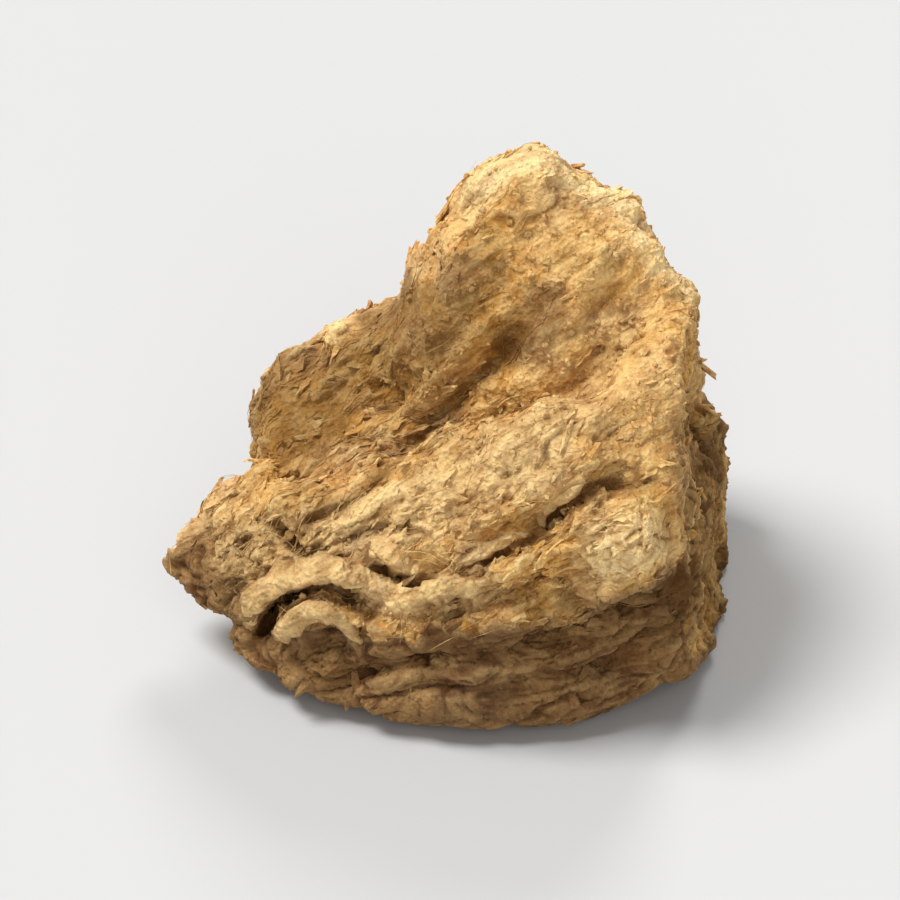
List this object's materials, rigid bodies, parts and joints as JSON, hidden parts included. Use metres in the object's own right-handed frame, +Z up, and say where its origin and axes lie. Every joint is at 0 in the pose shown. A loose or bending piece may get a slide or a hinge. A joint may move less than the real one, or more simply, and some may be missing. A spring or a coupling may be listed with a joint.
{
  "type": "angelica root",
  "caption": "Dried piece of cut root: a torn wedge of tan flesh drawn up to a blunt peak, with a furrow, a crack and wrinkled bark, resting on a flat cut base.",
  "frame": {"origin": "middle of the bounding box's bottom, on the surface that the piece rests on", "axes": "+X along the grain towards the crosscut end, +Y away from the viewer towards the split back, +Z up"},
  "size_m": [0.013, 0.0098, 0.0111],
  "materials": {
    "dried_root": "matt, granular dried flesh with duller wrinkled bark"
  },
  "bodies": {
    "root": {"root_piece": "dried_root"}
  },
  "joints": []
}
